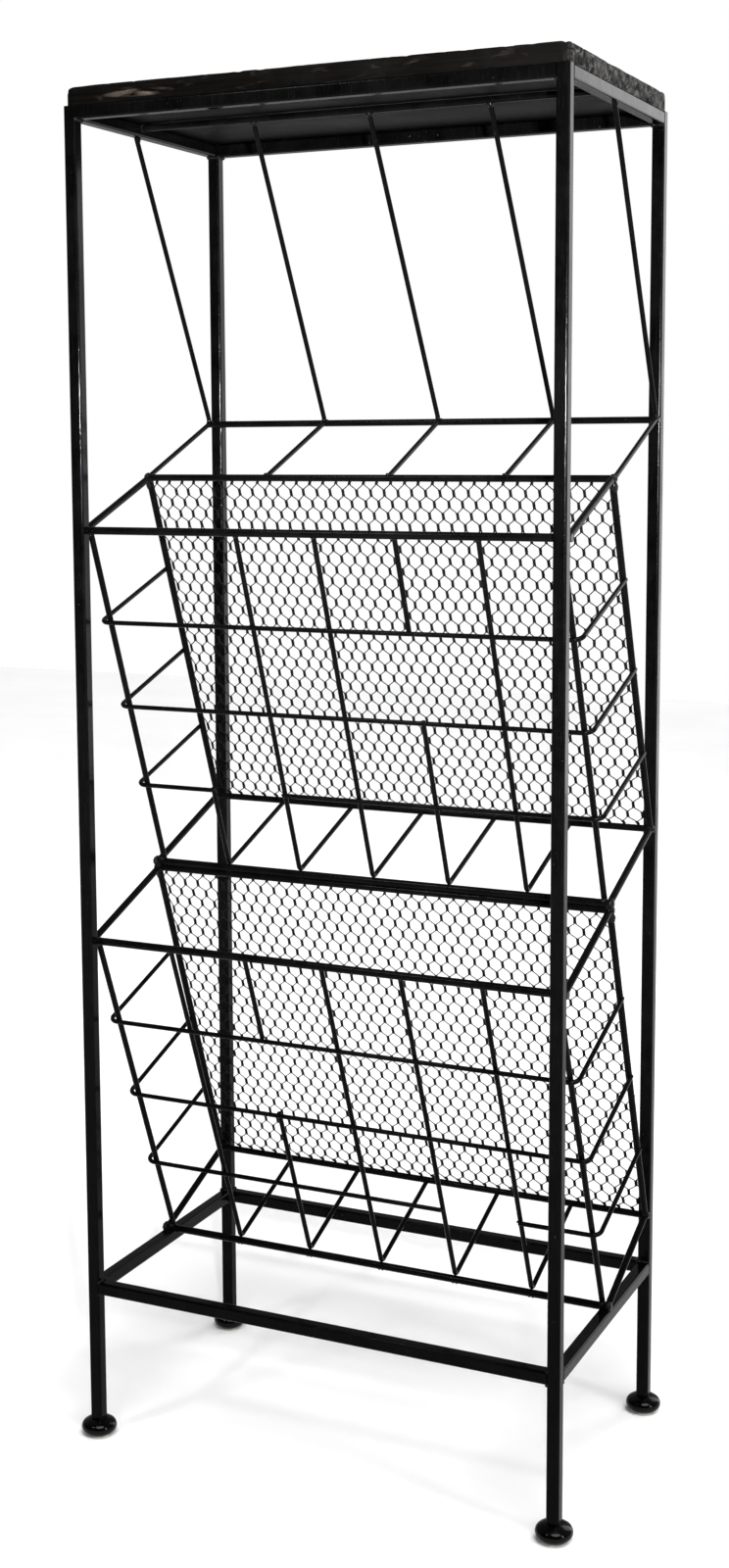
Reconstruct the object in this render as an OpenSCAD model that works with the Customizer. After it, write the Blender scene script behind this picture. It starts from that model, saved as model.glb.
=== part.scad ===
// Newspaper rack: a welded square-tube stand with a wooden top, one open magazine tier
// behind five divider wires, and two tilted newspaper baskets with hexagonal netting backs.
// Millimetres. X is the width, Y points to the back, Z is up.
// The origin is on the floor, at the centre of the four legs.

/* [Frame] */
// Distance between leg centres across the front
leg_span_x = 496; // [440:1:560]
// Distance between leg centres from front to back
leg_span_y = 280; // [272:1:300]
// Height of the top of the steel frame above the floor
frame_top = 1333; // [1320:1:1400]
// Height of the centre of the four lower rails
lower_rail_z = 158; // [100:1:180]
// Outside width of the square tube
tube_w = 12.7; // [12:0.1:16]
// Wall of the square tube
tube_wall = 1.5; // [1:0.1:2]
// Outside corner radius of the square tube
tube_corner = 2.2; // [1:0.1:2.5]

/* [Top] */
// Thickness of the wooden top
top_t = 18; // [12:1:25]
// How far the top stops short of the frame's outer faces at each side
top_inset_x = 1.2; // [0:0.1:4]
// The same from front to back
top_inset_y = 2; // [0:0.1:4]
// Plan radius of the top's corners
top_corner = 5; // [2:1:12]

/* [Feet] */
// Diameter of the bun feet
foot_d = 36; // [30:1:44]
// Height of a foot, with its pad
foot_h = 17; // [14:1:20]
// Diameter of the glide pad under a foot
pad_d = 28; // [20:1:30]
// Thickness of the glide pad
pad_t = 2; // [1:0.5:3]
// Length of the foot's plug inside the tube
plug_l = 18; // [10:1:30]

/* [Rods and wires] */
// Front and bottom rails of the baskets
rail_d = 7.6; // [6.5:0.1:8]
// Rods of the netting frames, rims, basket floors' sides, back rail and top rod
rod_d = 6.8; // [5.5:0.1:7]
// Front wires and divider wires
wire_d = 4.8; // [3.6:0.1:5]
// The wire at each end of a basket's front
end_wire_d = 5.9; // [4.4:0.1:6]
// Hoops that run round a basket's front
hoop_d = 4.5; // [3.4:0.1:5]
// Centreline radius of a hoop's corners
hoop_bend = 9; // [6:1:14]
// Centreline radius of the bends in the front and divider wires
wire_bend = 5.8; // [5.5:0.1:6.1]

/* [Baskets] */
// Height of the upper basket's bottom rail
upper_z = 574; // [560:1:580]
// Height of the lower basket's bottom rail
lower_z = 167; // [160:1:180]
// Rise of the upper basket's panels
upper_rise = 355; // [340:1:360]
// Rise of the lower basket's panels
lower_rise = 350; // [330:1:350]
// Rise of the basket floors from front to back
floor_rise = 50; // [40:1:60]
// Sideways shift of the lower basket's front wires
lower_shift = 5; // [-8:1:8]

/* [Divider tier] */
// Height of the back rail
back_rail_z = 1035; // [1025:1:1060]
// Distance of the top rod in front of the centre
top_rod_forward = 20; // [0:1:40]

/* [Hidden] */
$fn = 48;
UPPER = 0;
LOWER = 1;
SIDES = [-1, 1];
BASKETS = ["upper", "lower"];
STEEL = "#1c1c1e";
WORN_WOOD = "#26211d";
half_x = leg_span_x / 2;
half_y = leg_span_y / 2;
outer_x = half_x + tube_w / 2;
outer_y = half_y + tube_w / 2;
inner_x = half_x - tube_w / 2;
inner_y = half_y - tube_w / 2;
top_rail_z = frame_top - tube_w / 2;

// The gap between a coped rod's end and the rod that it is welded to.
weld_gap = 0.05;

// A bend is thicker than its wire by this much all round, and its straight lengths reach into it.
bend_swell = 0.05;
bend_reach = 0.3;

// Rods that run across the width lie against the legs and end flush with them.
front_rail_y = -inner_y + rail_d / 2;
back_rod_y = inner_y - rod_d / 2;
back_rail = [back_rod_y, back_rail_z];
top_rod = [-top_rod_forward, frame_top - rod_d / 2 - 0.5];
side_rod_x = outer_x - rod_d / 2 - 0.75;
hoop_x = outer_x - hoop_d / 2 + 0.7;
end_wire_x = hoop_x - hoop_bend + 0.4;

// Each basket was bent by hand, so its two panels lean by slightly different amounts.
front_run = [130, 137];
netting_run = [136, 129];
panel_rise = [upper_rise, lower_rise];
bottom_z = [upper_z, lower_z];
wire_pitch = leg_span_x / 6;
wire_shift = [0, lower_shift];

// Places of the hoops down a panel, and how much lower their ends sit at the back.
hoop_at = [0.26, 0.512, 0.757];
hoop_drop = 4;

// Stretches that have broken away: [basket, wire or hoop, from, to], where 0 is the front rail
// or the left end, and whole numbers are hoops or wires.
lost_wires = [[UPPER, 1, 0, 3], [UPPER, 4, 1, 2], [LOWER, 2, 1, 2]];
lost_hoops = [[UPPER, 3, 1, 2], [LOWER, 3, 4, 5]];

// Three dividers between the two at the ends: places along the top rod, back rail and netting rod.
divider_top_x = [-117, 8, 132];
divider_back_x = [-112, 19, 145];
divider_front_x = [-115, 20, 142];
divider_end_x = outer_x - wire_d / 2;

// The corner points of a basket, seen from the side as [y, z].
function front_rail(b) = [front_rail_y, bottom_z[b] + panel_rise[b]];
function bottom_rail(b) = [front_rail_y + front_run[b], bottom_z[b]];
function netting_top(b) = [back_rod_y - netting_run[b], bottom_z[b] + panel_rise[b] + floor_rise];
function netting_bottom(b) = [back_rod_y, bottom_z[b] + floor_rise];

function unit(v) = v / norm(v);
function at_x(x, p) = [x, p[0], p[1]];
function along(p, q, t) = p + (q - p) * t;

// The corner point of a wire that bends over a rod and touches it: a and b are the two ways
// that the wire leaves, and gap is the distance between the wire's and the rod's axes.
function bend_over(rod, a, b, gap, r) =
    let (half = acos(unit(a) * unit(b)) / 2)
    rod + unit(unit(a) + unit(b)) * (gap - r * (1 / sin(half) - 1));

function wire_x(b, i) = (i - 3) * wire_pitch + wire_shift[b];
function wire_corner(b) =
    let (rail = bottom_rail(b))
    bend_over(rail, front_rail(b) - rail, netting_bottom(b) - rail, (rail_d + wire_d) / 2 + weld_gap,
              wire_bend);

// A hoop's line across the front, and the point that its sides run to at the netting.
function hoop_front(b, k) =
    let (run = wire_corner(b) - front_rail(b), out = unit([-run[1], run[0]]))
    along(front_rail(b), wire_corner(b), hoop_at[k]) - out * (hoop_d + wire_d) / 2;
function hoop_back(b, k) =
    along(netting_top(b), netting_bottom(b), hoop_at[k])
    + unit(netting_bottom(b) - netting_top(b)) * hoop_drop;

// ---- Building blocks ----

// A straight rod between two points.
module rod(p, q, d) {
    v = q - p;
    translate(p)
        rotate([0, acos(v[2] / norm(v)), atan2(v[1], v[0])])
            cylinder(d = d, h = norm(v));
}

// A rod across the width at a side-view point.
module cross_rod(p, d, half = outer_x) {
    rod(at_x(-half, p), at_x(half, p), d);
}

// Part of a ring in the XY plane, from the X axis round by an angle under 180 degrees.
module ring_part(turn, d, r) {
    reach = r + d;
    intersection() {
        rotate(-90)
            rotate_extrude()
                translate([r, 0])
                    circle(d = d);
        translate([-reach, 0, -d])
            cube([2 * reach, reach, 2 * d]);
        rotate(turn)
            translate([-reach, -reach, -d])
                cube([2 * reach, reach, 2 * d]);
    }
}

// A wire bent round a centre at the origin, with a straight length before and after the bend.
// The bend is swollen by a hair, and each straight length reaches a little way into it.
module bent_in_plane(before, turn, after, d, r) {
    translate([r, bend_reach, 0])
        rotate([90, 0, 0])
            cylinder(d = d, h = before + bend_reach);
    ring_part(turn, d + 2 * bend_swell, r);
    rotate(turn)
        translate([r, -bend_reach, 0])
            rotate([-90, 0, 0])
                cylinder(d = d, h = after + bend_reach);
}

// A wire from p to q with one round bend at the corner c.
module elbow_wire(p, c, q, d, r) {
    a = unit(p - c);
    b = unit(q - c);
    half = acos(a * b) / 2;
    cut = r / tan(half);
    centre = c + unit(a + b) * r / sin(half);
    start = unit(c + a * cut - centre);
    normal = unit(cross(b, a));
    side = cross(normal, start);
    multmatrix([
        [start[0], side[0], normal[0], centre[0]],
        [start[1], side[1], normal[1], centre[1]],
        [start[2], side[2], normal[2], centre[2]],
        [0, 0, 0, 1]])
        bent_in_plane(norm(p - c) - cut, 180 - 2 * half, norm(q - c) - cut, d, r);
}

module rounded_square(w, r) {
    square([w, w - 2 * r], center = true);
    square([w - 2 * r, w], center = true);
    for (x = SIDES, y = SIDES)
        translate([x, y] * (w / 2 - r))
            circle(r);
}

// A length of square tube along Z.
module tube(length) {
    linear_extrude(length)
        difference() {
            rounded_square(tube_w, tube_corner);
            square(tube_w - 2 * tube_wall, center = true);
        }
}

// ---- Frame ----

module leg(sx, sy) {
    color(STEEL)
        translate([sx * half_x, sy * half_y, foot_h])
            tube(frame_top - foot_h);
}

module rail_across(sy, z) {
    color(STEEL)
        translate([-inner_x, sy * half_y, z])
            rotate([0, 90, 0])
                tube(2 * inner_x);
}

module rail_deep(sx, z) {
    color(STEEL)
        translate([sx * half_x, inner_y, z])
            rotate([90, 0, 0])
                tube(2 * inner_y);
}

// The foot's bun: a round edge under a shallow dome, with a flat seat for the tube.
module foot(sx, sy) {
    edge_r = 6.5;
    plug_w = tube_w - 2 * tube_wall - 0.2;
    edge_x = foot_d / 2 - edge_r;
    edge_z = pad_t + edge_r;
    apex = foot_h + 1.6;
    dome_r = (edge_x ^ 2 + (apex - edge_z) ^ 2 - edge_r ^ 2) / (2 * (apex - edge_z - edge_r));
    seat_r = sqrt(dome_r ^ 2 - (foot_h - apex + dome_r) ^ 2);
    color("#0c0c0d")
        translate([sx * half_x, sy * half_y, 0]) {
            rotate_extrude($fn = 64) {
                translate([edge_x, edge_z])
                    intersection() {
                        circle(edge_r);
                        translate([0, -edge_r])
                            square([edge_r, 2 * edge_r]);
                    }
                translate([0, pad_t])
                    square([edge_x, edge_r]);
                intersection() {
                    translate([0, apex - dome_r])
                        circle(dome_r, $fn = 128);
                    polygon([
                        [0, edge_z],
                        [edge_x, edge_z],
                        [edge_x, edge_z] + unit([edge_x, edge_z - apex + dome_r]) * 2 * edge_r,
                        [seat_r, foot_h],
                        [0, foot_h]]);
                }
            }
            translate([0, 0, foot_h + plug_l / 2])
                cube([plug_w, plug_w, plug_l], center = true);
        }
}

module foot_pads() {
    color("#b9b7b1")
        for (sx = SIDES, sy = SIDES)
            translate([sx * half_x, sy * half_y, 0])
                cylinder(d = pad_d, h = pad_t);
}

module top_slab() {
    w = 2 * (outer_x - top_inset_x);
    d = 2 * (outer_y - top_inset_y);
    color(WORN_WOOD)
        translate([0, 0, frame_top])
            linear_extrude(top_t) {
                square([w, d - 2 * top_corner], center = true);
                square([w - 2 * top_corner, d], center = true);
                for (x = SIDES, y = SIDES)
                    translate([x * (w / 2 - top_corner), y * (d / 2 - top_corner)])
                        circle(top_corner);
            }
}

// ---- Divider tier ----

module top_rod() {
    color(STEEL)
        cross_rod(top_rod, rod_d, inner_x);
}

module back_rail() {
    color(STEEL)
        cross_rod(back_rail, rod_d);
}

// A divider hangs from the top, bends in front of the back rail and runs on down to the netting rod.
module divider_wire(top, back_x, front_x) {
    front = netting_top(UPPER);
    up = [top[1], top[2]] - back_rail;
    corner = bend_over(back_rail, up, front - back_rail, (rod_d + wire_d) / 2 + weld_gap, wire_bend);
    difference() {
        elbow_wire(top, at_x(back_x, corner), at_x(front_x, front), wire_d, wire_bend);
        cross_cutter(top_rod, rod_d);
        cross_cutter(front, rod_d);
    }
}

module end_divider_wire(side) {
    x = side * divider_end_x;
    color(STEEL)
        difference() {
            divider_wire([x, top_rod[0], top_rail_z], x, x);
            side_cutters(UPPER);
            translate([side * half_x, 0, top_rail_z])
                cube([tube_w + 2, 2 * inner_y, tube_w], center = true);
        }
}

module inner_divider_wire(i) {
    color(STEEL)
        divider_wire(at_x(divider_top_x[i], top_rod), divider_back_x[i], divider_front_x[i]);
}

// ---- Baskets ----

module side_pair(p, q, d = rod_d) {
    for (side = SIDES)
        rod(at_x(side * side_rod_x, p), at_x(side * side_rod_x, q), d);
}

// What a coped end is cut with: a rod that is larger by the gap that its weld fills.
module cross_cutter(p, d) {
    cross_rod(p, d + 2 * weld_gap, outer_x + 1);
}

module side_cutters(b) {
    side_pair(netting_top(b), netting_bottom(b), rod_d + 2 * weld_gap);
}

module basket_front_rail(b) {
    color(STEEL)
        cross_rod(front_rail(b), rail_d);
}

module basket_bottom_rail(b) {
    color(STEEL)
        cross_rod(bottom_rail(b), rail_d);
}

module netting_top_rod(b) {
    color(STEEL)
        cross_rod(netting_top(b), rod_d);
}

module netting_bottom_rod(b) {
    color(STEEL)
        cross_rod(netting_bottom(b), rod_d);
}

// The left and right rods are coped onto the cross rods that they join.
module netting_side_rods(b) {
    color(STEEL)
        difference() {
            side_pair(netting_top(b), netting_bottom(b));
            cross_cutter(netting_top(b), rod_d);
            cross_cutter(netting_bottom(b), rod_d);
        }
}

module rim_side_rods(b) {
    color(STEEL)
        difference() {
            side_pair(front_rail(b), netting_top(b));
            cross_cutter(front_rail(b), rail_d);
            cross_cutter(netting_top(b), rod_d);
            side_cutters(b);
        }
}

module floor_side_rods(b) {
    color(STEEL)
        difference() {
            side_pair(bottom_rail(b), netting_bottom(b));
            cross_cutter(bottom_rail(b), rail_d);
            cross_cutter(netting_bottom(b), rod_d);
            side_cutters(b);
        }
}

// The thicker wire at each end of the front lies against the inside of the hoops.
module end_wires(b) {
    down = unit(wire_corner(b) - front_rail(b));
    set_back = [-down[1], down[0]] * (end_wire_d - wire_d) / 2;
    color(STEEL)
        difference() {
            for (side = SIDES)
                rod(at_x(side * end_wire_x, front_rail(b) + set_back),
                    at_x(side * end_wire_x, wire_corner(b) + set_back + down * rail_d / 2),
                    end_wire_d);
            cross_cutter(front_rail(b), rail_d);
            cross_cutter(bottom_rail(b), rail_d);
        }
}

// Where a wire meets the front rail or a hoop, as a share of the panel.
function wire_mark(k) = k == 0 ? 0 : hoop_at[k - 1];

// A front wire runs down the front, bends over the bottom rail and becomes a floor wire.
module front_wire(b, i) {
    x = wire_x(b, i);
    rail = front_rail(b);
    corner = wire_corner(b);
    lost = [for (l = lost_wires) if (l[0] == b && l[1] == i) l];
    broken = len(lost) > 0;
    stub = broken ? wire_mark(lost[0][2]) : 0;
    from = broken ? wire_mark(lost[0][3]) : 0;
    color(STEEL)
        difference() {
            union() {
                elbow_wire(at_x(x, along(rail, corner, from)), at_x(x, corner),
                           at_x(x, netting_bottom(b)), wire_d, wire_bend);
                if (stub > 0)
                    rod(at_x(x, rail), at_x(x, along(rail, corner, stub)), wire_d);
            }
            cross_cutter(rail, rail_d);
            cross_cutter(netting_bottom(b), rod_d);
        }
}

// Half of a hoop, in a plane: the front from x = from, the corner, and the side along +Y.
module hoop_half(from, reach) {
    translate([hoop_x - hoop_bend, hoop_bend, 0])
        rotate(-90)
            bent_in_plane(hoop_x - hoop_bend - from, 90, reach - hoop_bend, hoop_d, hoop_bend);
}

// A hoop is bent round the front, outside the wires, and its ends are coped onto the netting frame.
module hoop(b, k) {
    front = hoop_front(b, k - 1);
    run = hoop_back(b, k - 1) - front;
    lost = [for (l = lost_hoops) if (l[0] == b && l[1] == k) l];
    broken = len(lost) > 0;
    color(STEEL)
        difference() {
            translate(at_x(0, front))
                rotate([atan2(run[1], run[0]), 0, 0]) {
                    hoop_half(broken ? wire_x(b, lost[0][3]) : 0, norm(run));
                    mirror([1, 0, 0])
                        hoop_half(broken ? -wire_x(b, lost[0][2]) : 0, norm(run));
                }
            side_cutters(b);
        }
}

// The netting, as a thin sheet that fills its frame.
module netting(b) {
    run = netting_top(b) - netting_bottom(b);
    w = 2 * side_rod_x - rod_d;
    h = norm(run) - rod_d;
    color("#3a3a3a")
        translate(at_x(0, along(netting_bottom(b), netting_top(b), 0.5)))
            rotate([atan2(run[1], run[0]) - 90, 0, 0])
                cube([w, 1.2, h], center = true);
}

// ---- Assembly ----

CORNERS = [["front_left", -1, -1], ["front_right", 1, -1], ["back_left", -1, 1], ["back_right", 1, 1]];

for (c = CORNERS) {
    leg(c[1], c[2]);
    foot(c[1], c[2]);
}
foot_pads();
rail_across(-1, top_rail_z);  // top_rail_front
rail_across(1, top_rail_z);  // top_rail_back
rail_deep(-1, top_rail_z);  // top_rail_left
rail_deep(1, top_rail_z);  // top_rail_right
rail_across(-1, lower_rail_z);  // lower_rail_front
rail_across(1, lower_rail_z);  // lower_rail_back
rail_deep(-1, lower_rail_z);  // lower_rail_left
rail_deep(1, lower_rail_z);  // lower_rail_right
top_slab();
top_rod();
back_rail();
end_divider_wire(-1);  // divider_wire_left
end_divider_wire(1);  // divider_wire_right
for (i = [1 : 3])
    inner_divider_wire(i - 1);
for (b = [UPPER, LOWER]) {
    basket_front_rail(b);
    basket_bottom_rail(b);
    netting_top_rod(b);
    netting_bottom_rod(b);
    netting_side_rods(b);
    rim_side_rods(b);
    floor_side_rods(b);
    end_wires(b);
    netting(b);
    for (i = [1 : 5])
        front_wire(b, i);
    for (k = [1 : 3])
        hoop(b, k);
}
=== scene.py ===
"""The looks of the newspaper rack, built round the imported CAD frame. Metres, +Z up, +Y to the back.

The CAD gives every tube, rod, wire and foot, and they get worn black paint here. The CAD's plain
board and netting sheets are replaced: by a board with worn, chipped edges, and by twisted hexagonal
netting that passes behind the rods and ends on their backs. Weld beads are added at the joints.
"""

import math
import random

import bpy
import bmesh
from mathutils import Matrix, Vector, noise


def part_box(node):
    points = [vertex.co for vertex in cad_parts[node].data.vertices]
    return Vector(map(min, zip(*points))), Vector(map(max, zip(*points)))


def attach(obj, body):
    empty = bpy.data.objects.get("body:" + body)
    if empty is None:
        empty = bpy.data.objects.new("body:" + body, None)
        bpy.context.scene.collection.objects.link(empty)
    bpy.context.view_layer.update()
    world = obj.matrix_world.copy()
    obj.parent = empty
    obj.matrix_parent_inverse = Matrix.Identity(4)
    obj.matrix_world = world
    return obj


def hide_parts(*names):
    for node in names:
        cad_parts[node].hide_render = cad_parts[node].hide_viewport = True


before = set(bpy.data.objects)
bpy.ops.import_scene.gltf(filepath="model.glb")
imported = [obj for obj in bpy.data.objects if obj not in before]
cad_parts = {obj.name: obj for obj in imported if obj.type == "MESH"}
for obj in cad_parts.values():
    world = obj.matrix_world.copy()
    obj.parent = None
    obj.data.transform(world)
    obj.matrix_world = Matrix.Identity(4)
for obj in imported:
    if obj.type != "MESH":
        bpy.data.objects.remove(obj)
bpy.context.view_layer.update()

MM = 0.001
BASKETS = ("upper", "lower")
ACROSS = Vector((1, 0, 0))
SIDES = (-1, 1)


# ---------------------------------------------------------------- camera, lights, floor

CAMERA_AT = (0.83132, -1.80592, 1.00567)
CAMERA_YAW = 24.923
CAMERA_PITCH = 6.797
CAMERA_ROLL = -0.227
CAMERA_LENS = 46.016
CAMERA_SHIFT_Y = -0.0601

# The room's strength in front of the rack and behind it, which only the rack and floor see.
ROOM_DIM = 0.03
ROOM_BRIGHT = 0.5
ROOM_FADE = (-0.6, 0.5)

# The picture's gamma. Below 1 it hardens the blacks and the edges of thin rods.
PRINT_GAMMA = 0.88

RACK_MIDDLE = (0, 0, 0.7)
# Name, place, the point it faces, width and height, watts, spread in degrees.
AREA_LIGHTS = (("key", (2.9, -0.9, 1.25), RACK_MIDDLE, (0.35, 1.7), 30, 180),
               ("edge", (1.45, 2.75, 1.6), RACK_MIDDLE, (1.2, 3.2), 42, 180),
               ("spark", (-1.1, -1.9, 2.6), RACK_MIDDLE, (0.25, 0.25), 14, 180),
               ("flash", (0.937, -1.757, 1.09), (0, 0, 1.0), (0.06, 0.06), 15, 50))
# The sky is a wide soft sun. Its width and its tilts round X and Y are in degrees.
SKY_POWER = 3.1
SKY_WIDTH = 40
SKY_TILT = (22, 18)
FLOOR_HALF = 6


def make_camera():
    data = bpy.data.cameras.new("camera")
    data.sensor_width = 36
    data.lens = CAMERA_LENS
    data.shift_y = CAMERA_SHIFT_Y
    data.clip_start, data.clip_end = 0.05, 30
    camera = bpy.data.objects.new("camera", data)
    turn = (Matrix.Rotation(math.radians(CAMERA_YAW), 4, "Z")
            @ Matrix.Rotation(math.radians(90 - CAMERA_PITCH), 4, "X")
            @ Matrix.Rotation(math.radians(CAMERA_ROLL), 4, "Z"))
    camera.matrix_world = Matrix.Translation(CAMERA_AT) @ turn
    bpy.context.scene.collection.objects.link(camera)
    bpy.context.scene.camera = camera


def area_light(name, at, look, size, power, spread):
    data = bpy.data.lights.new(name, "AREA")
    data.shape = "RECTANGLE"
    data.size, data.size_y = size
    data.energy = power
    data.spread = math.radians(spread)
    light = bpy.data.objects.new(name, data)
    light.location = at
    light.rotation_euler = (Vector(look) - Vector(at)).to_track_quat("-Z", "Y").to_euler()
    light.visible_camera = False
    bpy.context.scene.collection.objects.link(light)


def make_world():
    """White to the camera. As light, it is brighter behind the rack than in front of it."""
    world = bpy.data.worlds.new("studio")
    bpy.context.scene.world = world
    world.use_nodes = True
    tree = world.node_tree
    shown = tree.nodes["Background"]
    shown.inputs["Color"].default_value = (1, 1, 1, 1)
    shown.inputs["Strength"].default_value = 1.0
    room = tree.nodes.new("ShaderNodeBackground")
    where = tree.nodes.new("ShaderNodeTexCoord")
    split = tree.nodes.new("ShaderNodeSeparateXYZ")
    tree.links.new(where.outputs["Generated"], split.inputs[0])
    spread = tree.nodes.new("ShaderNodeMapRange")
    spread.interpolation_type = "SMOOTHSTEP"
    for key, value in (("From Min", ROOM_FADE[0]), ("From Max", ROOM_FADE[1]),
                       ("To Min", ROOM_DIM), ("To Max", ROOM_BRIGHT)):
        spread.inputs[key].default_value = value
    tree.links.new(split.outputs["Y"], spread.inputs["Value"])
    tree.links.new(spread.outputs["Result"], room.inputs["Strength"])
    path = tree.nodes.new("ShaderNodeLightPath")
    choose = tree.nodes.new("ShaderNodeMixShader")
    tree.links.new(path.outputs["Is Camera Ray"], choose.inputs["Fac"])
    tree.links.new(room.outputs[0], choose.inputs[1])
    tree.links.new(shown.outputs[0], choose.inputs[2])
    tree.links.new(choose.outputs[0], tree.nodes["World Output"].inputs["Surface"])


def make_stage():
    bpy.context.scene.view_settings.view_transform = "Standard"
    bpy.context.scene.view_settings.gamma = PRINT_GAMMA
    make_world()
    for light in AREA_LIGHTS:
        area_light(*light)
    sun = bpy.data.lights.new("sky", "SUN")
    sun.energy = SKY_POWER
    sun.angle = math.radians(SKY_WIDTH)
    sky = bpy.data.objects.new("sky", sun)
    sky.rotation_euler = (math.radians(SKY_TILT[0]), math.radians(SKY_TILT[1]), 0)
    bpy.context.scene.collection.objects.link(sky)
    mesh = bpy.data.meshes.new("floor")
    r = FLOOR_HALF
    mesh.from_pydata([(-r, -r, 0), (r, -r, 0), (r, r, 0), (-r, r, 0)], [], [(0, 1, 2, 3)])
    floor = bpy.data.objects.new("floor", mesh)
    bpy.context.scene.collection.objects.link(floor)
    floor.data.materials.append(floor_material())


# ---------------------------------------------------------------- materials

class Graph:
    """A short way to write a node material. Object coordinates are metres in the shared frame."""

    def __init__(self, name):
        self.material = bpy.data.materials.new(name)
        self.material.use_nodes = True
        self.tree = self.material.node_tree
        self.shader = self.tree.nodes["Principled BSDF"]
        self.place = self.node("ShaderNodeTexCoord").outputs["Object"]

    def node(self, kind, **settings):
        n = self.tree.nodes.new(kind)
        for key, value in settings.items():
            setattr(n, key, value)
        return n

    def link(self, a, b):
        self.tree.links.new(a, b)

    def fixed(self, **values):
        for key, value in values.items():
            self.shader.inputs[key.replace("_", " ")].default_value = value

    def stretched(self, scale):
        n = self.node("ShaderNodeMapping")
        n.inputs["Scale"].default_value = scale
        self.link(self.place, n.inputs["Vector"])
        return n.outputs["Vector"]

    def noise(self, scale, detail=4, rough=0.55, at=None, warp=0):
        n = self.node("ShaderNodeTexNoise")
        n.inputs["Scale"].default_value = scale
        n.inputs["Detail"].default_value = detail
        n.inputs["Roughness"].default_value = rough
        n.inputs["Distortion"].default_value = warp
        self.link(at or self.place, n.inputs["Vector"])
        return n.outputs["Fac"]

    def ramp(self, value, *stops):
        n = self.node("ShaderNodeValToRGB")
        ramp = n.color_ramp
        while len(ramp.elements) < len(stops):
            ramp.elements.new(0.5)
        for element, (at, colour) in zip(ramp.elements, stops):
            element.position = at
            element.color = (*colour, 1) if isinstance(colour, tuple) else (colour,) * 3 + (1,)
        self.link(value, n.inputs["Fac"])
        return n.outputs["Color"]

    def math(self, operation, a, b=0.0, clamp=True):
        n = self.node("ShaderNodeMath", operation=operation, use_clamp=clamp)
        for socket, value in zip(n.inputs, (a, b)):
            if isinstance(value, (int, float)):
                socket.default_value = value
            else:
                self.link(value, socket)
        return n.outputs[0]

    def grade(self, share, a, b):
        """A grey value that goes from a to b."""
        n = self.node("ShaderNodeMix", data_type="FLOAT")
        for socket, value in zip((n.inputs[0], n.inputs[2], n.inputs[3]), (share, a, b)):
            self.link(value, socket)
        return n.outputs[0]

    def mix(self, share, a, b):
        n = self.node("ShaderNodeMix", data_type="RGBA")
        self.link(share, n.inputs["Factor"])
        for socket, value in ((n.inputs[6], a), (n.inputs[7], b)):
            if isinstance(value, tuple):
                socket.default_value = (*value, 1)
            else:
                self.link(value, socket)
        return n.outputs[2]

    def split(self):
        n = self.node("ShaderNodeSeparateXYZ")
        self.link(self.place, n.inputs[0])
        return n.outputs

    def spot(self, u, v, at, size):
        """1 in the middle of a soft ellipse and 0 outside it."""
        total = None
        for value, centre, half in zip((u, v), at, size):
            away = self.math("SUBTRACT", value, centre, clamp=False)
            share = self.math("DIVIDE", away, half, clamp=False)
            square = self.math("POWER", self.math("ABSOLUTE", share, clamp=False), 2, clamp=False)
            total = square if total is None else self.math("ADD", total, square)
        return self.ramp(total, (0.25, 1.0), (1.0, 0.0))

    def bump(self, height, distance, strength=1.0, normal=None):
        n = self.node("ShaderNodeBump")
        n.inputs["Distance"].default_value = distance
        n.inputs["Strength"].default_value = strength
        self.link(height, n.inputs["Height"])
        if normal is not None:
            self.link(normal, n.inputs["Normal"])
        return n.outputs["Normal"]

    def finish(self, colour, roughness, normal=None):
        self.link(colour, self.shader.inputs["Base Color"])
        self.link(roughness, self.shader.inputs["Roughness"])
        if normal is not None:
            self.link(normal, self.shader.inputs["Normal"])
        return self.material


def floor_material():
    g = Graph("pale_floor")
    cloud = g.noise(3, 3)
    return g.finish(g.ramp(cloud, (0.3, 0.90), (0.7, 0.93)), g.ramp(cloud, (0, 0.6), (1, 0.7)))


def painted_steel(name, orange_peel=1.0, wear=1.0):
    """Old satin black paint on steel, with mottle, dull patches, fine scuffs and tiny chips."""
    g = Graph(name)
    mottle = g.noise(38, 5)
    dull = g.noise(9, 4, warp=0.6)
    scuff = g.noise(1, 3, 0.6, at=g.stretched((900, 900, 42)))
    chips = g.ramp(g.noise(310, 3, 0.7), (0.70 - 0.015 * wear, 0.0), (0.745, 1.0))
    patch = g.ramp(g.noise(14, 2), (0.52, 0.0), (0.68, 1.0))
    chip = g.math("MULTIPLY", chips, patch)
    black = g.ramp(mottle, (0.3, (0.0008, 0.0008, 0.0009)), (0.72, (0.0028, 0.0028, 0.0030)))
    rubbed = g.mix(g.ramp(scuff, (0.58, 0.0), (0.80, 0.35)), black, (0.016, 0.0155, 0.015))
    colour = g.mix(chip, rubbed, (0.09, 0.078, 0.066))
    rough = g.math("ADD", g.ramp(dull, (0.3, 0.07), (0.75, 0.22)), g.math("MULTIPLY", chip, 0.25))
    peel = g.noise(520, 2, 0.5)
    normal = g.bump(peel, 0.00012 * orange_peel, 0.5)
    normal = g.bump(mottle, 0.0005, 0.5, normal)
    g.fixed(Specular_IOR_Level=0.06)
    return g.finish(colour, rough, normal)


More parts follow.
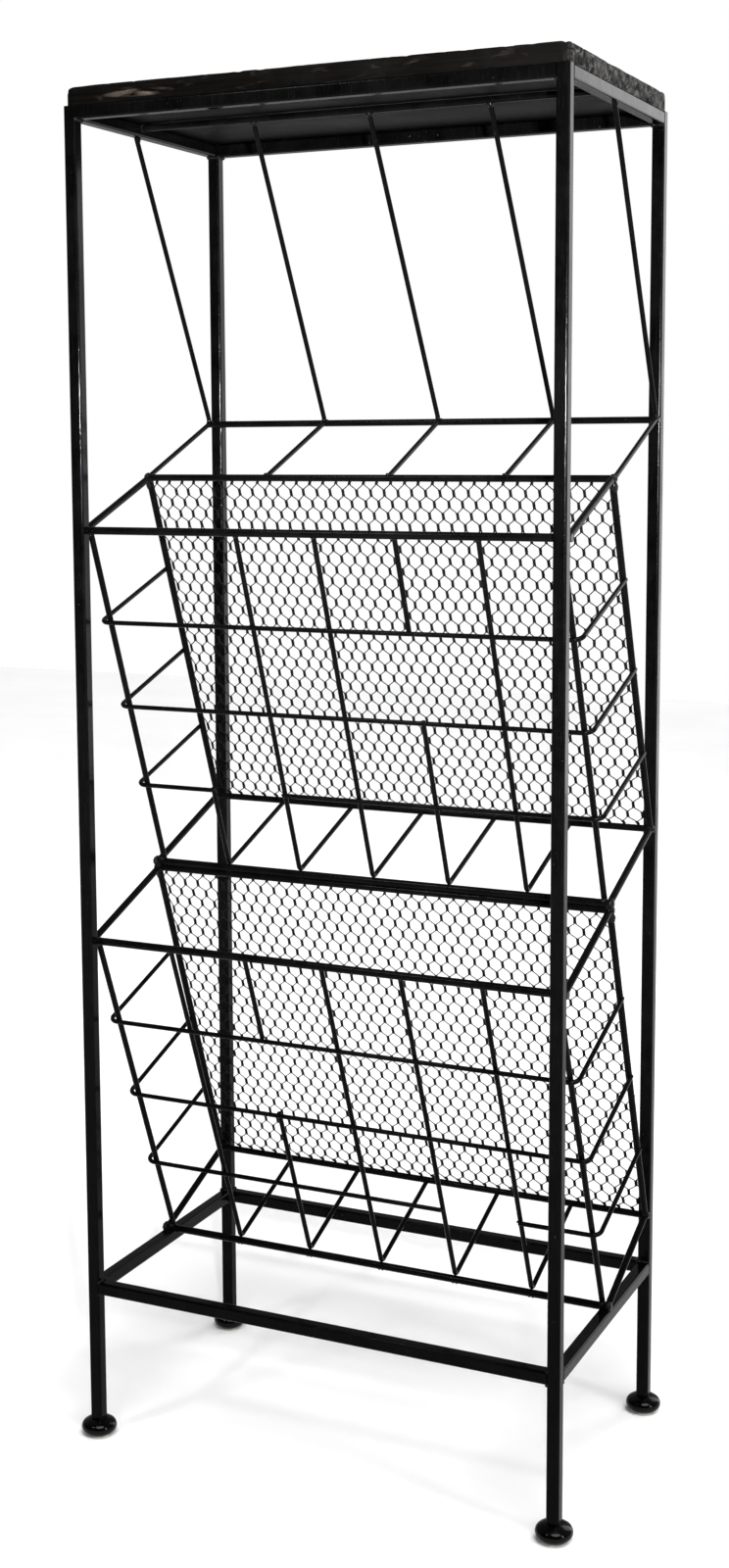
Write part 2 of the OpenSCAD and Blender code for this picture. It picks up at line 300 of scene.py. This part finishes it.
def weld_material():
    """Weld beads under the same paint, rippled, with brighter rubbed crowns."""
    g = Graph("painted_weld")
    ripple = g.noise(700, 3, 0.6)
    tone = g.noise(160, 3)
    black = g.ramp(tone, (0.35, (0.0018, 0.0018, 0.0020)), (0.75, (0.0085, 0.0082, 0.0080)))
    rough = g.ramp(ripple, (0.3, 0.18), (0.75, 0.36))
    g.fixed(Specular_IOR_Level=0.12)
    return g.finish(black, rough, g.bump(ripple, 0.0004, 0.7))


def netting_material():
    """Thin galvanised wire under black paint that has worn to grey on the twists' crowns."""
    g = Graph("netting_wire")
    tone = g.noise(420, 3)
    worn = g.ramp(g.noise(95, 4, 0.65), (0.60, 0.0), (0.80, 0.3))
    black = g.ramp(tone, (0.3, (0.0012, 0.0012, 0.0013)), (0.7, (0.0035, 0.0035, 0.0037)))
    colour = g.mix(worn, black, (0.030, 0.029, 0.027))
    rough = g.ramp(tone, (0.2, 0.42), (0.8, 0.6))
    g.fixed(Specular_IOR_Level=0.06)
    return g.finish(colour, rough, g.bump(tone, 0.0001, 0.5))


# The middle of the strongest rub on the board's front edge, as (x, z), and its half sizes.
RUB_AT = (-0.172, 1.3400)
RUB_SIZE = (0.040, 0.0040)
# Across this stretch of x the board's colour goes over to its right end's, which is scraped and also
# painted lighter grey as a painted sheen of the light from the right.
SCRAPED_SHEEN_FROM, SCRAPED_SHEEN_TO = 0.2505, 0.2520


def worn_wood():
    """Black-stained board: fine grain along X, rubbed brown patches, and a scraped right end that is
    painted lighter grey as a painted sheen of the light from the right.
    """
    g = Graph("worn_wood")
    x, y, z = g.split()
    fibre = g.noise(1, 5, 0.6, at=g.stretched((14, 420, 420)))
    pores = g.noise(1, 3, 0.6, at=g.stretched((55, 1500, 1500)))
    cloud = g.noise(11, 5, 0.6, warp=0.8)
    stain = g.ramp(fibre, (0.32, (0.0008, 0.0007, 0.0006)), (0.70, (0.0030, 0.0026, 0.0023)))
    faded = g.mix(g.ramp(cloud, (0.42, 0.0), (0.72, 0.6)), stain, (0.0055, 0.0047, 0.0042))

    # Brown wood shows through in long rubs: one strong, near the front's left end, and faint ones.
    rubs = g.noise(1, 5, 0.62, at=g.stretched((26, 60, 160)), warp=0.6)
    brown = g.ramp(fibre, (0.3, (0.040, 0.031, 0.026)), (0.7, (0.098, 0.079, 0.067)))
    near = g.ramp(y, (0.0, 1.0), (0.001, 0.0))
    strong = g.spot(x, z, RUB_AT, RUB_SIZE)
    rub = g.math("MULTIPLY", g.ramp(rubs, (0.40, 0.0), (0.60, 1.0)),
                 g.math("MULTIPLY", strong, near))
    faint = g.math("MULTIPLY", g.ramp(rubs, (0.60, 0.0), (0.72, 1.0)), 0.16)
    colour = g.mix(g.math("ADD", rub, faint), faded, brown)

    # The right end is scraped, and painted much lighter grey than the rest as a painted sheen of the
    # light from the right: grey mottle with pale short scratches.
    end = g.ramp(x, (SCRAPED_SHEEN_FROM, 0.0), (SCRAPED_SHEEN_TO, 1.0))
    scrape_and_sheen_noise = g.noise(1, 5, 0.7, at=g.stretched((60, 55, 75)), warp=1.6)
    streak = g.noise(1, 3, 0.6, at=g.stretched((300, 360, 150)), warp=1.5)
    mottle = g.ramp(scrape_and_sheen_noise, (0.36, (0.003, 0.0028, 0.0026)), (0.50, (0.016, 0.0155, 0.0150)),
                    (0.66, (0.075, 0.072, 0.068)))
    scratched_and_sheen = g.mix(g.ramp(streak, (0.64, 0.0), (0.73, 0.8)), mottle, (0.24, 0.235, 0.225))
    # The right end's pale grey, partly scrapes and partly painted sheen, goes over the board's own
    # colour.
    colour = g.mix(end, colour, scratched_and_sheen)

    rough = g.grade(end, g.ramp(cloud, (0.25, 0.42), (0.75, 0.62)),
                    g.ramp(scrape_and_sheen_noise, (0.36, 0.9), (0.50, 0.5), (0.64, 0.3)))
    normal = g.bump(fibre, 0.00035, 0.5)
    normal = g.bump(pores, 0.00025, 0.35, normal)
    normal = g.bump(cloud, 0.0012, 0.25, normal)
    g.fixed(Specular_IOR_Level=0.04)
    return g.finish(colour, rough, normal)


def glossy_foot():
    """Moulded black plastic, shiny, with faint hair scratches and dust low down."""
    g = Graph("foot_plastic")
    hair = g.noise(1, 3, 0.6, at=g.stretched((320, 320, 1500)))
    dust = g.ramp(g.noise(120, 4), (0.5, 0.0), (0.75, 0.2))
    colour = g.mix(dust, (0.0010, 0.0010, 0.0011), (0.010, 0.0095, 0.009))
    rough = g.math("ADD", g.ramp(hair, (0.4, 0.09), (0.8, 0.20)), g.math("MULTIPLY", dust, 0.2))
    g.fixed(Specular_IOR_Level=0.16)
    return g.finish(colour, rough, g.bump(hair, 0.00004, 0.4))


def pale_pad():
    """Felted nylon glide, scuffed grey at its rim."""
    g = Graph("pad_nylon")
    fuzz = g.noise(900, 3, 0.65)
    grime = g.noise(70, 4, 0.6)
    colour = g.ramp(grime, (0.3, (0.34, 0.33, 0.30)), (0.7, (0.66, 0.64, 0.60)))
    rough = g.ramp(fuzz, (0.2, 0.7), (0.8, 0.9))
    return g.finish(colour, rough, g.bump(fuzz, 0.0002, 0.6))


STEEL = painted_steel("black_steel")
WIRE = painted_steel("black_wire", 1.4, 1.5)
WELD = weld_material()
NETTING = netting_material()
WOOD = worn_wood()
FOOT = glossy_foot()
PAD = pale_pad()


def dress_cad_nodes():
    """Gives every CAD node its material, by its name."""
    for name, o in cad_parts.items():
        if name == "top_slab":
            material = WOOD
        elif name == "foot_pads":
            material = PAD
        elif name.startswith("foot_"):
            material = FOOT
        elif name.startswith(("leg_", "top_rail_", "lower_rail_")):
            material = STEEL
        else:
            material = WIRE
        if not o.data.materials:
            o.data.materials.append(None)
        for slot in o.material_slots:
            slot.link = "OBJECT"
            slot.material = material


# ---------------------------------------------------------------- where the CAD's rods lie

def cross_axis(node):
    """The (y, z) of a rod that runs across the width, and its radius."""
    lo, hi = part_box(node)
    return Vector((0, (lo.y + hi.y) / 2, (lo.z + hi.z) / 2)), (hi.z - lo.z) / 2


def at_x(x, p):
    return Vector((x, p.y, p.z))


class Basket:
    """Where one basket's rods, wires and hoops lie, read from its CAD nodes."""

    def __init__(self, name):
        self.name = name
        self.rail, self.rail_r = cross_axis(name + "_front_rail")
        self.floor_rail, _ = cross_axis(name + "_bottom_rail")
        self.net_top, self.rod_r = cross_axis(name + "_netting_top_rod")
        self.net_bottom, _ = cross_axis(name + "_netting_bottom_rod")
        lo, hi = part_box(name + "_netting_side_rods")
        self.side_x = hi.x - self.rod_r
        self.end_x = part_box(name + "_netting_top_rod")[1].x
        self.down = (self.net_bottom - self.net_top).normalized()
        self.normal = ACROSS.cross(self.down).normalized()
        if self.normal.y > 0:
            self.normal = -self.normal
        self.wires = []
        for i in range(1, 6):
            lo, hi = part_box(f"{name}_front_wire_{i}")
            self.wires.append((lo.x + hi.x) / 2)
        self.wire_r = (hi.x - lo.x) / 2
        self.hoops = [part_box(f"{name}_hoop_{k}") for k in range(1, 4)]


# ---------------------------------------------------------------- mesh builders

def tube_mesh(lines, sides):
    """Round wires along several lines of (point, radius), each a closed skin with capped ends."""
    verts, faces = [], []
    ring = [(math.cos(2 * math.pi * k / sides), math.sin(2 * math.pi * k / sides))
            for k in range(sides)]
    for line in lines:
        base = len(verts)
        side = None
        last = len(line) - 1
        for i, (p, radius) in enumerate(line):
            ahead = (line[min(i + 1, last)][0] - line[max(i - 1, 0)][0]).normalized()
            if side is None:
                side = ahead.orthogonal().normalized()
            side = (side - ahead * side.dot(ahead)).normalized()
            up = ahead.cross(side)
            for c, s in ring:
                verts.append(p + (side * c + up * s) * radius)
        for i in range(last):
            a = base + i * sides
            for k in range(sides):
                n = (k + 1) % sides
                faces.append((a + k, a + n, a + sides + n, a + sides + k))
        faces.append(tuple(base + k for k in reversed(range(sides))))
        faces.append(tuple(base + last * sides + k for k in range(sides)))
    return verts, faces


def add_piece(name, verts, faces, material, slot, *replaced):
    mesh = bpy.data.meshes.new(name)
    mesh.from_pydata(verts, [], faces)
    mesh.update()
    mesh.shade_smooth()
    o = bpy.data.objects.new(name, mesh)
    bpy.context.scene.collection.objects.link(o)
    mesh.materials.append(material)
    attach(o, "root")
    if replaced:
        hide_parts(*replaced)
    return o


# ---------------------------------------------------------------- the worn board

BOARD_STEP = 2.5 * MM
BOARD_CORNER = 6 * MM
BOARD_CORNER_STEPS = 5
# Wear fades out over this distance from the upper and lower edges, in millimetres.
BOARD_WEAR_REACH = 5.0
# Noise along the edges: its scale, its depth in millimetres, and the share that it sinks an edge.
WEAR_SCALE, WEAR_DEPTH, WEAR_SINK = 38, 1.1, 0.35
CHIP_SCALE, CHIP_DEPTH, CHIP_SINK = 130, 3.4, 0.3
WAVE_SCALE, WAVE_DEPTH = 14, 0.25
# A chip starts where its noise passes this value.
CHIP_FROM = 0.28
WEAR_SEED, CHIP_SEED = Vector((3, 1, 7)), Vector((9, 4, 2))
# The four corners are worn rounder from this height up: inwards and down by these millimetres.
ROUND_FROM, ROUND_IN, ROUND_DOWN = 10, 1.9, 1.2
# How far the edge stands in, and its height over the board's underside, in millimetres.
BOARD_PROFILE = ((1.0, 0.0), (0.25, 0.25), (0.0, 1.0), (0.0, 6.0), (0.0, 11.0), (0.0, 15.2),
                 (0.25, 16.5), (0.9, 17.4), (1.9, 17.9), (3.2, 18.0))


def worn_board():
    """The top, with edges rounded by wear and shallow chips along them."""
    lo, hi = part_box("top_slab")
    half_w, half_d = (hi.x - lo.x) / 2, (hi.y - lo.y) / 2
    middle = (lo + hi) / 2
    outline = []
    spans = (((1, -1), (1, 1)), ((1, 1), (-1, 1)), ((-1, 1), (-1, -1)), ((-1, -1), (1, -1)))
    for (ax, ay), (bx, by) in spans:
        a = Vector((ax * (half_w - BOARD_CORNER), ay * (half_d - BOARD_CORNER)))
        b = Vector((bx * (half_w - BOARD_CORNER), by * (half_d - BOARD_CORNER)))
        out = Vector((b.y - a.y, a.x - b.x)).normalized()
        count = round((b - a).length / BOARD_STEP)
        for k in range(count):
            outline.append((a.lerp(b, (k + 0.5) / count) + out * BOARD_CORNER, out))
        turn = math.atan2(out.y, out.x)
        for k in range(BOARD_CORNER_STEPS):
            t = turn + math.pi / 2 * (k + 0.5) / BOARD_CORNER_STEPS
            away = Vector((math.cos(t), math.sin(t)))
            outline.append((b + away * BOARD_CORNER, away))
    verts, faces = [], []
    top = BOARD_PROFILE[-1][1]
    for inset, height in BOARD_PROFILE:
        for p, out in outline:
            at = Vector((p.x, p.y, height * MM))
            edge = max(0.0, 1 - min(height, top - height) / BOARD_WEAR_REACH)
            worn = noise.noise(at * WEAR_SCALE + WEAR_SEED)
            chipped = noise.noise(at * CHIP_SCALE + CHIP_SEED) - CHIP_FROM
            wear = max(0.0, worn) * WEAR_DEPTH * edge
            chip = max(0.0, chipped) * CHIP_DEPTH * edge
            wave = (0.5 + 0.5 * noise.noise(at * WAVE_SCALE)) * WAVE_DEPTH
            p = p - out * (inset + wear + chip + wave) * MM
            inwards = 1 if height > top / 2 else -1
            sink = (wear * WEAR_SINK + chip * CHIP_SINK) * inwards * MM
            rise = max(0.0, (height - ROUND_FROM) / (top - ROUND_FROM))
            round_off = abs(out.x * out.y) * 2 * rise ** 2
            p = p - out * round_off * ROUND_IN * MM
            sink += round_off * ROUND_DOWN * MM
            verts.append(Vector((middle.x + p.x, middle.y + p.y, lo.z + height * MM - sink)))
    n = len(outline)
    for ring in range(len(BOARD_PROFILE) - 1):
        for k in range(n):
            a, b = ring * n + k, ring * n + (k + 1) % n
            faces.append((a, b, b + n, a + n))
    faces.append(tuple(reversed(range(n))))
    last = (len(BOARD_PROFILE) - 1) * n
    faces.append(tuple(last + k for k in range(n)))
    board = add_piece("worn_top", verts, faces, WOOD, "worn_wood", "top_slab")
    board.data.set_sharp_from_angle(angle=math.radians(50))


# ---------------------------------------------------------------- hexagonal netting

NET_WIRE_R = 0.51 * MM
NET_TWIST_R = 1.05 * MM
NET_PITCH = {"upper": 14.75 * MM, "lower": 15.0 * MM}
NET_ROW = 12.2 * MM
TWIST = 5.6 * MM
TWIST_TURNS = 2
TWIST_STEPS = 12
TWIST_SPREAD = 0.58 * MM
FIRST_ROW = 3.6 * MM
EDGE_COLUMN = 3.4 * MM
END_LENGTH = 1.6 * MM
BEHIND_GAP = 0.15 * MM
# The panel's bulge and its wires' slack, and the scales of the noise that varies them.
BULGE, BULGE_SCALE = 1.6 * MM, 9
SLACK, SLACK_SCALE = 0.8 * MM, 55
NET_SIDES = 5
# How far a rod's nearness is felt: from its edge, and over this much more than its radius.
EDGE_START, EDGE_REACH = 1.5 * MM, 3.5 * MM
# The turn of an outermost wire behind a side rod: outwards and down, in millimetres.
SIDE_TURN = ((-0.8, -2.2), (1.0, -1.1), (1.6, 0.0), (1.0, 1.1), (-0.8, 2.2))
# The bend between two twists: the share of the way down, and of the way across.
EASY_BEND = ((0.22, 0.13), (0.78, 0.87))
# The twists' random shifts across and down, and the wires' ends' across, in millimetres.
SHIFT_ACROSS, SHIFT_DOWN, END_SHIFT = 0.35, 0.4, 0.7


def netting(b, seed):
    """Each wire zigzags down the panel and twists with one neighbour, then the other.

    At all four edges the netting passes behind the rods, and its wires end on their backs.
    """
    rand = random.Random(seed)
    length = (b.net_bottom - b.net_top).length
    behind = b.rod_r + NET_TWIST_R + BEHIND_GAP
    edge = b.side_x - b.rod_r - EDGE_COLUMN
    columns = round(4 * edge / NET_PITCH[b.name])
    half = 2 * edge / columns
    rows = round((length - 2 * FIRST_ROW) / NET_ROW) + 1
    row_step = (length - 2 * FIRST_ROW) / (rows - 1)
    drift = [[(rand.uniform(-SHIFT_ACROSS, SHIFT_ACROSS) * MM,
               rand.uniform(-SHIFT_DOWN, SHIFT_DOWN) * MM) for _ in range(rows)]
             for _ in range(columns + 1)]

    def edge_share(away):
        """1 close behind a rod, easing to 0 out in the open."""
        t = min(max((away - EDGE_START) / (b.rod_r + EDGE_REACH), 0), 1)
        return 1 - t * t * (3 - 2 * t)

    def spot(x, v, lift=0.0):
        u, w = x / b.side_x, v / length
        calm = max(0.0, 1 - u * u) * max(0.0, math.sin(math.pi * min(max(w, 0), 1)))
        near = max(edge_share(b.side_x - abs(x)), edge_share(min(v, length - v)))
        wave = noise.noise(Vector((x * BULGE_SCALE, v * BULGE_SCALE, seed * 7.3))) * BULGE * 2
        slack = noise.noise(Vector((x * SLACK_SCALE, v * SLACK_SCALE, seed * 3.1))) * SLACK
        out = calm * (BULGE + wave) * (1 - near) - behind * near + lift
        return at_x(x + slack, b.net_top + b.down * v) + b.normal * out

    def twist(column, row, phase):
        x = -edge + column * half + drift[column][row][0]
        v = FIRST_ROW + row * row_step + drift[column][row][1]
        points = []
        for k in range(TWIST_STEPS + 1):
            t = k / TWIST_STEPS
            turn = phase + 2 * math.pi * TWIST_TURNS * t
            points.append(spot(x + TWIST_SPREAD * math.cos(turn), v + (t - 0.5) * TWIST,
                               TWIST_SPREAD * math.sin(turn)))
        return points

    def behind_side(side, v):
        """The outermost wires turn back behind the side rods."""
        return [spot(side * (b.side_x + x * MM), v + dv * MM) for x, dv in SIDE_TURN]

    lines = []
    for w in range(-1, columns + 1):
        line = []

        def run_on(points, radius):
            """Joins the next stretch on, with an easy bend out of the last twist."""
            if line:
                p, q = line[-1][0], points[0]
                for t, share in EASY_BEND:
                    line.append((at_x(p.x + (q.x - p.x) * share, p.lerp(q, t)), NET_WIRE_R))
            line.extend((p, radius) for p in points)

        for row in range(rows):
            own = (w + row) % 2 == 0
            column = w if own else w + 1
            if 0 <= column <= columns:
                run_on(twist(column, row, 0.0 if own else math.pi), NET_TWIST_R)
            else:
                side = -1 if column < 0 else 1
                run_on(behind_side(side, FIRST_ROW + row * row_step), NET_WIRE_R)
        for end, way in ((0, -1), (-1, 1)):
            p, radius = line[end]
            shift = Vector((rand.uniform(-END_SHIFT, END_SHIFT) * MM, 0, 0))
            tail = p + b.down * way * END_LENGTH + shift
            line.insert(0 if way < 0 else len(line), (tail, radius))
        lines.append(line)
    verts, faces = tube_mesh(lines, NET_SIDES)
    add_piece(b.name + "_hex_netting", verts, faces, NETTING, "netting_wire",
              b.name + "_netting")


# ---------------------------------------------------------------- weld beads

# A seam's radius, in millimetres.
FRAME_BEAD, RAIL_BEAD, NET_ROD_BEAD = 1.9, 1.2, 1.1
SEAM_INSET = 1 * MM
LEG_SEAM_HALF = 5 * MM
ROD_END = 2.6 * MM
# A hoop's radius, as a share of a front wire's.
HOOP_SHARE = 0.93
# A lump's radius along its axis and across it, in millimetres.
LUMPS = {"frame_corner": (2.6, 3.6), "top_rod_ring": (1.1, 1.5),
         "divider_end": (3.2, 3.0), "divider_hanger": (3.4, 3.6), "divider_bend": (2.0, 1.5),
         "divider_foot": (2.2, 2.6),
         "rod_side": (1.5, 1.6), "rod_crest": (1.5, 1.9), "shoulder": (7.0, 4.0),
         "wire_side": (1.3, 1.5), "wire_crest": (1.3, 1.8), "wire_floor": (1.6, 1.4),
         "wire_back": (1.6, 2.5), "wire_hoop": (1.3, 1.2), "end_wire": (1.6, 2.9),
         "hoop_back": (2.0, 1.9), "hoop_front": (1.8, 1.4)}
# The lumps that close a basket's corners: their length and their unevenness.
CORNER_LENGTH, CORNER_ROUGH = 3.4, 0.3


class Beads:
    """Small uneven lumps of weld, joined into one mesh for each part of the rack."""

    def __init__(self, name, seed):
        self.name = name
        self.rand = random.Random(seed)
        self.verts, self.faces = [], []
        ball = bmesh.new()
        bmesh.ops.create_icosphere(ball, subdivisions=2, radius=1)
        self.unit = [v.co.copy() for v in ball.verts]
        self.tris = [tuple(v.index for v in f.verts) for f in ball.faces]
        ball.free()

    def blob(self, at, radii, axis=Vector((0, 0, 1)), rough=0.16):
        """An uneven ball; rough is the share by which it swells and shrinks."""
        along, across = radii
        turn = axis.normalized().to_track_quat("Z", "Y").to_matrix()
        seed = self.rand.uniform(0, 90)
        base = len(self.verts)
        for v in self.unit:
            swell = 1 + rough * noise.noise(v * 1.7 + Vector((seed, seed, seed)))
            local = Vector((v.x * across, v.y * across, v.z * along)) * swell * MM
            self.verts.append(Vector(at) + turn @ local)
        self.faces.extend(tuple(base + i for i in t) for t in self.tris)

    def seam(self, p, q, r, step=1.5):
        """A stacked bead between two points, like overlapping coins."""
        p, q = Vector(p), Vector(q)
        count = max(2, round((q - p).length / (step * MM)))
        for k in range(count + 1):
            wobble = Vector([self.rand.uniform(-0.15, 0.15) for _ in range(3)]) * MM
            size = r * self.rand.uniform(0.85, 1.15)
            self.blob(p.lerp(q, k / count) + wobble, (size * 0.8, size), q - p)

    def finish(self):
        add_piece(self.name, self.verts, self.faces, WELD, "black_steel")


def frame_welds():
    beads = Beads("frame_welds", 11)
    for level in ("top", "lower"):
        for side in ("front", "back", "left", "right"):
            lo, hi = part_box(f"{level}_rail_{side}")
            # The upper rails' top edges lie under the board and have no bead.
            heights = (lo.z,) if level == "top" else (lo.z, hi.z)
            runs_across = side in ("front", "back")
            for end in (lo.x, hi.x) if runs_across else (lo.y, hi.y):
                for z in heights:
                    if runs_across:
                        p, q = (end, lo.y + SEAM_INSET, z), (end, hi.y - SEAM_INSET, z)
                    else:
                        p, q = (lo.x + SEAM_INSET, end, z), (hi.x - SEAM_INSET, end, z)
                    beads.seam(p, q, FRAME_BEAD)
    # A lump fills each inner corner.
    for level in ("top", "lower"):
        for side_x in ("left", "right"):
            for side_y in ("front", "back"):
                x_lo, x_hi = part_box(f"{level}_rail_{side_x}")
                y_lo, y_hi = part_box(f"{level}_rail_{side_y}")
                x = x_lo.x + SEAM_INSET if side_x == "right" else x_hi.x - SEAM_INSET
                y = y_hi.y - SEAM_INSET if side_y == "front" else y_lo.y + SEAM_INSET
                for z in ((x_lo.z,) if level == "top" else (x_lo.z, x_hi.z)):
                    beads.blob((x, y, z), LUMPS["frame_corner"], rough=0.4)
    # A ring of small lumps closes each end of the top rod.
    lo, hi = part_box("top_rod")
    middle = (lo + hi) / 2
    r = (hi.z - lo.z) / 2
    for x in (lo.x, hi.x):
        for turn in range(0, 360, 45):
            a = math.radians(turn)
            at = (x, middle.y + r * math.cos(a), middle.z + r * math.sin(a) * 0.9)
            beads.blob(at, LUMPS["top_rod_ring"], ACROSS)
    beads.finish()


def divider_welds(upper):
    """At each divider's top, its bend on the back rail, and its foot on the netting's top rod."""
    beads = Beads("divider_welds", 12)
    rod, r = cross_axis("top_rod")
    rail, _ = cross_axis("back_rail")
    for name in ("left", "1", "2", "3", "right"):
        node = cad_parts["divider_wire_" + name]
        points = [v.co for v in node.data.vertices]
        top = max(points, key=lambda p: p.z)
        bend = max(points, key=lambda p: p.y)
        foot = min(points, key=lambda p: p.z)
        if name in ("left", "right"):
            beads.blob((top.x, top.y, top.z - 2 * MM), LUMPS["divider_end"])
        else:
            beads.blob(at_x(top.x, rod) + Vector((0, 1.2 * MM, -r)), LUMPS["divider_hanger"])
        gap = (at_x(bend.x, rail) - Vector((bend.x, bend.y, bend.z))).normalized()
        for side in SIDES:
            at = at_x(bend.x + side * 2.0 * MM, rail) - gap * 3.1 * MM
            beads.blob(at, LUMPS["divider_bend"], ACROSS)
        at = at_x(foot.x, upper.net_top) + Vector((0, 2.2, 2.6)) * MM
        beads.blob(at, LUMPS["divider_foot"], Vector((0, 1, 0.4)))
    beads.finish()


def basket_welds(b):
    """At every place where a basket's rods and wires meet each other or the legs."""
    beads = Beads(b.name + "_basket_welds", 21 + BASKETS.index(b.name))
    front = b.floor_rail - b.rail
    down = front.normalized()
    out = Vector((0, down.z, -down.y))
    if out.y > 0:
        out = -out
    inner_leg_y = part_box("leg_front_left")[1].y
    back_leg_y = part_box("leg_back_left")[0].y
    leg_x = (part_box("leg_front_right")[0].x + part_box("leg_front_right")[1].x) / 2

    # Rails against the legs.
    for side in SIDES:
        near, far = side * (leg_x - LEG_SEAM_HALF), side * (leg_x + LEG_SEAM_HALF)
        for up in SIDES:
            y, z = inner_leg_y + 0.6 * MM, b.rail.z + up * 2.7 * MM
            beads.seam((near, y, z), (far, y, z), RAIL_BEAD)
            y, z = back_leg_y - 0.6 * MM, b.net_bottom.z + up * 2.3 * MM
            beads.seam((near, y, z), (far, y, z), NET_ROD_BEAD)

    # Side rods, rim and floor rods at the corners.
    rim = (b.net_top - b.rail).normalized()
    floor = (b.net_bottom - b.floor_rail).normalized()
    for side in SIDES:
        x = side * b.side_x
        for corner, ways in ((b.rail, (rim,)), (b.net_top, (-rim, b.down)),
                             (b.floor_rail, (floor,)), (b.net_bottom, (-floor, -b.down))):
            for way in ways:
                for tilt in SIDES:
                    at = at_x(x, corner) + way * 3.6 * MM + ACROSS * tilt * 2.4 * MM
                    beads.blob(at, LUMPS["rod_side"], way)
                at = at_x(x, corner) + way * 3.4 * MM + way.cross(ACROSS) * 2.6 * MM
                beads.blob(at, LUMPS["rod_crest"], way)
        # Lumps of weld close the corners where three rods meet.
        for corner, size in ((b.net_top, 4.8), (b.floor_rail, 5.6), (b.net_bottom, 4.0)):
            end = at_x(side * (b.end_x - ROD_END), corner)
            beads.blob(end, (CORNER_LENGTH, size), ACROSS, CORNER_ROUGH)
            end = end + Vector((-side * 3.0, 0.6, -2.0)) * MM
            beads.blob(end, (CORNER_LENGTH, size * 0.8), ACROSS, CORNER_ROUGH)
        shoulder = at_x(side * (b.side_x + 0.8 * MM), b.net_top) + b.down * 8 * MM
        beads.blob(shoulder, LUMPS["shoulder"], b.down, 0.2)

    # Front wires on the front rail, the hoops and the bottom rail.
    for i, x in enumerate(b.wires):
        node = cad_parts[f"{b.name}_front_wire_{i + 1}"]
        heights = [v.co.z for v in node.data.vertices if v.co.y < b.floor_rail.y]
        if max(heights) > b.rail.z - 12 * MM:
            for tilt in SIDES:
                at = at_x(x + tilt * 1.7 * MM, b.rail) + down * 3.7 * MM
                beads.blob(at, LUMPS["wire_side"], down)
            at = at_x(x, b.rail) + down * 3.5 * MM + out * 1.6 * MM
            beads.blob(at, LUMPS["wire_crest"], down)
        for tilt in SIDES:
            at = at_x(x + tilt * 1.9 * MM, b.floor_rail) - Vector((0, 0, 3.5 * MM))
            beads.blob(at, LUMPS["wire_floor"], Vector((0, 1, 0)))
        beads.blob(at_x(x, b.net_bottom) - floor * 3.6 * MM, LUMPS["wire_back"], floor)
        hoop_r = b.wire_r * HOOP_SHARE
        for lo, hi in b.hoops:
            at = Vector((x, lo.y + hoop_r, lo.z + hoop_r)) - out * (hoop_r * 0.95)
            if at.z < max(heights) + 4 * MM:
                for tilt in SIDES:
                    beside = at + Vector((tilt * 1.9 * MM, 0, -0.4 * MM))
                    beads.blob(beside, LUMPS["wire_hoop"], ACROSS)

    # End wires, and the hoops' ends on the netting rods.
    end_wire_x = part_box(b.name + "_end_wires")[1].x
    for side in SIDES:
        x = side * (end_wire_x - ROD_END)
        for rail, way in ((b.rail, 1), (b.floor_rail, -1)):
            at = at_x(x, rail) + down * way * 4.0 * MM + out * 1.0 * MM
            beads.blob(at, LUMPS["end_wire"], down)
        for lo, hi in b.hoops:
            share = (b.net_top.z - (hi.z - 2.0 * MM)) / (b.net_top.z - b.net_bottom.z)
            end = b.net_top.lerp(b.net_bottom, share)
            end = at_x(side * (b.side_x + 2.6 * MM), end) + b.normal * 2.2 * MM
            beads.blob(end, LUMPS["hoop_back"], Vector((0, 1, 0.35)))
            front_end = Vector((side * (hi.x - 9.4 * MM), lo.y + 4.0 * MM, lo.z + 2.6 * MM))
            beads.blob(front_end, LUMPS["hoop_front"], ACROSS)
    beads.finish()


# ---------------------------------------------------------------- build

make_camera()
make_stage()
dress_cad_nodes()
baskets = [Basket(name) for name in BASKETS]
for number, basket in enumerate(baskets):
    netting(basket, 5 + number)
    basket_welds(basket)
frame_welds()
divider_welds(baskets[0])
worn_board()
